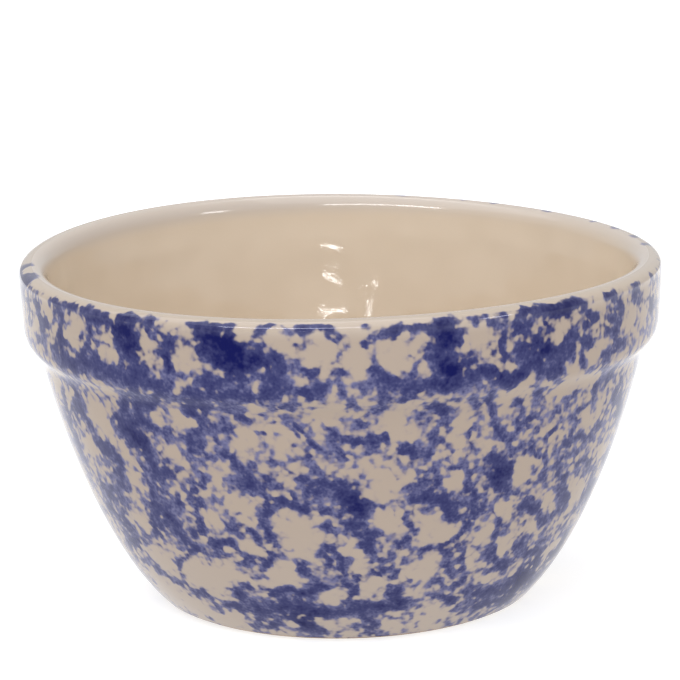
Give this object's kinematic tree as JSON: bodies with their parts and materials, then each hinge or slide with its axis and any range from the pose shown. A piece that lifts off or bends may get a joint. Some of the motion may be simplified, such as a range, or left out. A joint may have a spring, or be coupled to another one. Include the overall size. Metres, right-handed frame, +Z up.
{
  "type": "stoneware bowl",
  "caption": "Round stoneware mixing bowl with a flared wall, heavy collar and rounded lip, cream glaze inside and blue sponged glaze outside, for mixing or serving.",
  "frame": {"origin": "centre of the foot ring, on the surface the bowl stands on", "axes": "+Z up along the bowl's axis; the bowl is round, and -Y is the side seen in the picture"},
  "size_m": [0.2032, 0.2032, 0.109],
  "materials": {
    "bare_clay": "unglazed fired stoneware, matt",
    "cream_glaze": "plain cream gloss glaze",
    "sponged_glaze": "cream gloss glaze over blue sponged stain"
  },
  "bodies": {
    "root": {"stoneware_body": "bare_clay", "liner_glaze": "cream_glaze", "outside_glaze": "sponged_glaze", "underside_glaze": "cream_glaze"}
  },
  "joints": []
}
